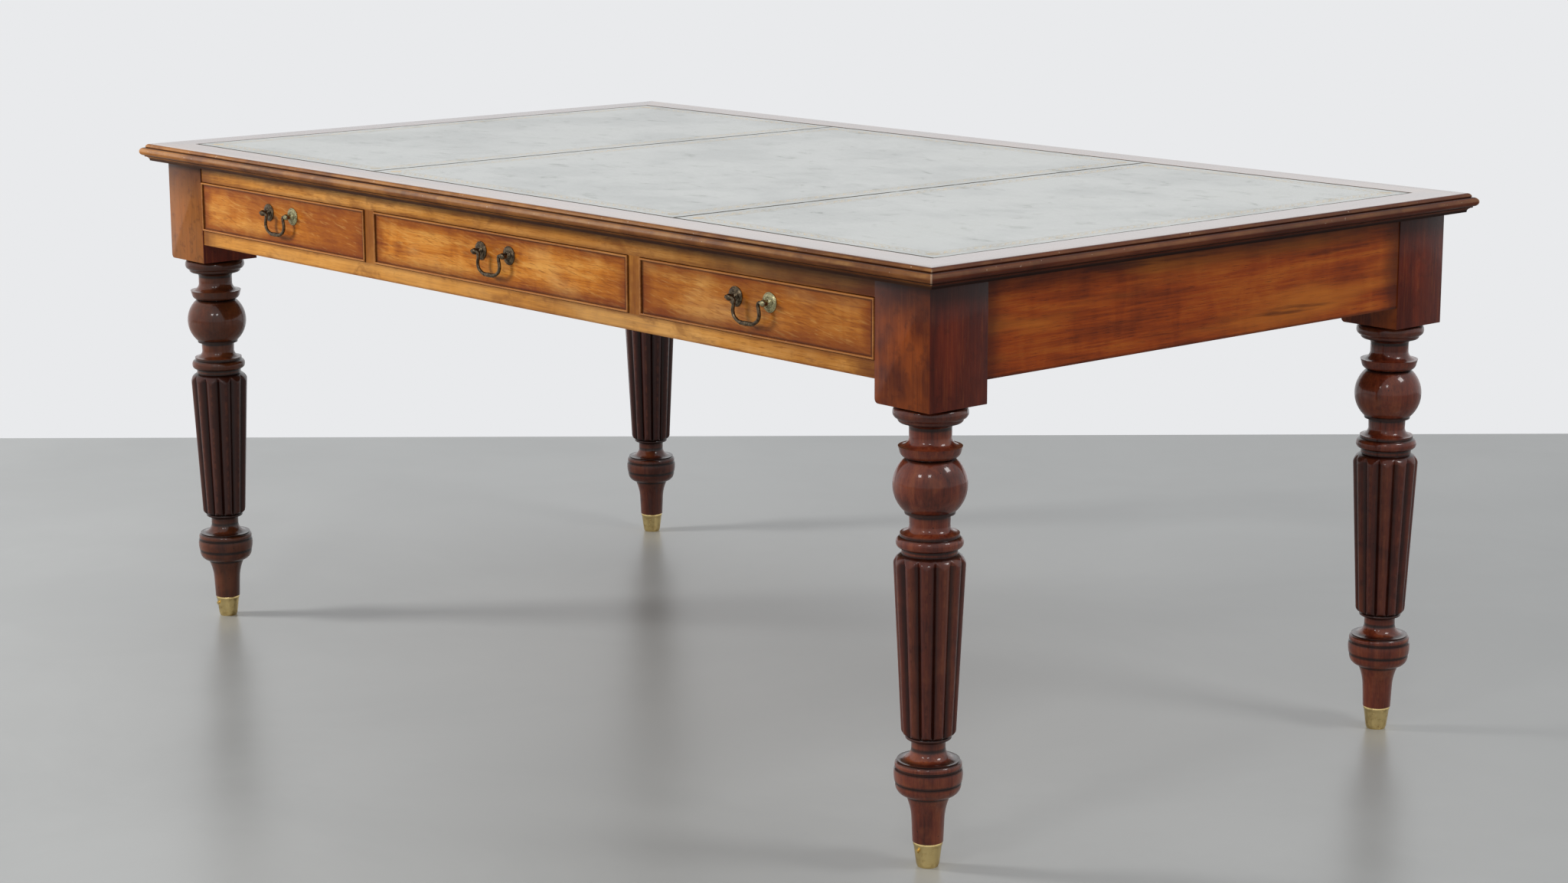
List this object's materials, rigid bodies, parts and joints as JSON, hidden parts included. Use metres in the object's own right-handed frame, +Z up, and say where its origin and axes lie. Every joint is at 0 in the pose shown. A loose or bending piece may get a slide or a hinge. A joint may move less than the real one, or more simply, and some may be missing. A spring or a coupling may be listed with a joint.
{
  "type": "partners writing desk",
  "caption": "Leather-topped mahogany partners' writing table with frieze drawers in both long sides, drop handles and turned, reeded legs in brass foot caps.",
  "frame": {"origin": "on the floor, under the middle of the table", "axes": "+X along the long side, to the right of a person facing the front side; +Y from the front side to the back side; +Z up"},
  "size_m": [1.815, 1.051, 0.77],
  "materials": {
    "border_mahogany": "french polished",
    "rail_mahogany": "french polished",
    "front_mahogany": "french polished",
    "leg_mahogany": "french polished, dark",
    "carcass_wood": "bare",
    "drawer_lining": "bare",
    "green_leather": "waxed, gilt tooled border",
    "handle_bronze": "dark patina",
    "cap_brass": "polished",
    "screw_brass": "dull",
    "screw_steel": "plain"
  },
  "bodies": {
    "frame": {"top_border_front": "border_mahogany", "top_border_back": "border_mahogany", "top_border_left": "border_mahogany", "top_border_right": "border_mahogany", "top_core": "carcass_wood", "top_screws": "screw_steel", "leather_left": "green_leather", "leather_middle": "green_leather", "leather_right": "green_leather", "top_rail_front": "rail_mahogany", "top_rail_back": "rail_mahogany", "bottom_rail_front": "rail_mahogany", "bottom_rail_back": "rail_mahogany", "drawer_dividers": "rail_mahogany", "end_rail_left": "rail_mahogany", "end_rail_right": "rail_mahogany", "centre_rail": "carcass_wood", "drawer_runners": "carcass_wood", "drawer_kickers": "carcass_wood", "drawer_stops": "carcass_wood", "leg_front_left": "leg_mahogany", "leg_front_right": "leg_mahogany", "leg_back_left": "leg_mahogany", "leg_back_right": "leg_mahogany", "foot_cap_front_left": "cap_brass", "foot_cap_front_right": "cap_brass", "foot_cap_back_left": "cap_brass", "foot_cap_back_right": "cap_brass", "cap_screws": "screw_brass"},
    "front_left_drawer": {"drawer_front_front_left": "front_mahogany", "cock_bead_front_left": "front_mahogany", "drawer_box_front_left": "drawer_lining", "handle_posts_front_left": "handle_bronze"},
    "front_left_bail": {"drawer_bail_front_left": "handle_bronze"},
    "front_middle_drawer": {"drawer_front_front_middle": "front_mahogany", "cock_bead_front_middle": "front_mahogany", "drawer_box_front_middle": "drawer_lining", "handle_posts_front_middle": "handle_bronze"},
    "front_middle_bail": {"drawer_bail_front_middle": "handle_bronze"},
    "front_right_drawer": {"drawer_front_front_right": "front_mahogany", "cock_bead_front_right": "front_mahogany", "drawer_box_front_right": "drawer_lining", "handle_posts_front_right": "handle_bronze"},
    "front_right_bail": {"drawer_bail_front_right": "handle_bronze"},
    "back_left_drawer": {"drawer_front_back_left": "front_mahogany", "cock_bead_back_left": "front_mahogany", "drawer_box_back_left": "drawer_lining", "handle_posts_back_left": "handle_bronze"},
    "back_left_bail": {"drawer_bail_back_left": "handle_bronze"},
    "back_middle_drawer": {"drawer_front_back_middle": "front_mahogany", "cock_bead_back_middle": "front_mahogany", "drawer_box_back_middle": "drawer_lining", "handle_posts_back_middle": "handle_bronze"},
    "back_middle_bail": {"drawer_bail_back_middle": "handle_bronze"},
    "back_right_drawer": {"drawer_front_back_right": "front_mahogany", "cock_bead_back_right": "front_mahogany", "drawer_box_back_right": "drawer_lining", "handle_posts_back_right": "handle_bronze"},
    "back_right_bail": {"drawer_bail_back_right": "handle_bronze"}
  },
  "joints": [
    {"name": "front_left_drawer_slide", "type": "slide", "parent": "frame", "child": "front_left_drawer", "axis": [0, -1, 0], "range_m": [0, 0.34]},
    {"name": "front_left_bail_hinge", "type": "hinge", "parent": "front_left_drawer", "child": "front_left_bail", "pos_m": [-0.5487, -0.5034, 0.689], "axis": [-1, 0, 0], "range_deg": [-14, 188]},
    {"name": "front_middle_drawer_slide", "type": "slide", "parent": "frame", "child": "front_middle_drawer", "axis": [0, -1, 0], "range_m": [0, 0.34]},
    {"name": "front_middle_bail_hinge", "type": "hinge", "parent": "front_middle_drawer", "child": "front_middle_bail", "pos_m": [0, -0.5034, 0.689], "axis": [-1, 0, 0], "range_deg": [-14, 188]},
    {"name": "front_right_drawer_slide", "type": "slide", "parent": "frame", "child": "front_right_drawer", "axis": [0, -1, 0], "range_m": [0, 0.34]},
    {"name": "front_right_bail_hinge", "type": "hinge", "parent": "front_right_drawer", "child": "front_right_bail", "pos_m": [0.5487, -0.5034, 0.689], "axis": [-1, 0, 0], "range_deg": [-14, 188]},
    {"name": "back_left_drawer_slide", "type": "slide", "parent": "frame", "child": "back_left_drawer", "axis": [0, 1, 0], "range_m": [0, 0.34]},
    {"name": "back_left_bail_hinge", "type": "hinge", "parent": "back_left_drawer", "child": "back_left_bail", "pos_m": [-0.5487, 0.5034, 0.689], "axis": [1, 0, 0], "range_deg": [-14, 188]},
    {"name": "back_middle_drawer_slide", "type": "slide", "parent": "frame", "child": "back_middle_drawer", "axis": [0, 1, 0], "range_m": [0, 0.34]},
    {"name": "back_middle_bail_hinge", "type": "hinge", "parent": "back_middle_drawer", "child": "back_middle_bail", "pos_m": [0, 0.5034, 0.689], "axis": [1, 0, 0], "range_deg": [-14, 188]},
    {"name": "back_right_drawer_slide", "type": "slide", "parent": "frame", "child": "back_right_drawer", "axis": [0, 1, 0], "range_m": [0, 0.34]},
    {"name": "back_right_bail_hinge", "type": "hinge", "parent": "back_right_drawer", "child": "back_right_bail", "pos_m": [0.5487, 0.5034, 0.689], "axis": [1, 0, 0], "range_deg": [-14, 188]}
  ]
}
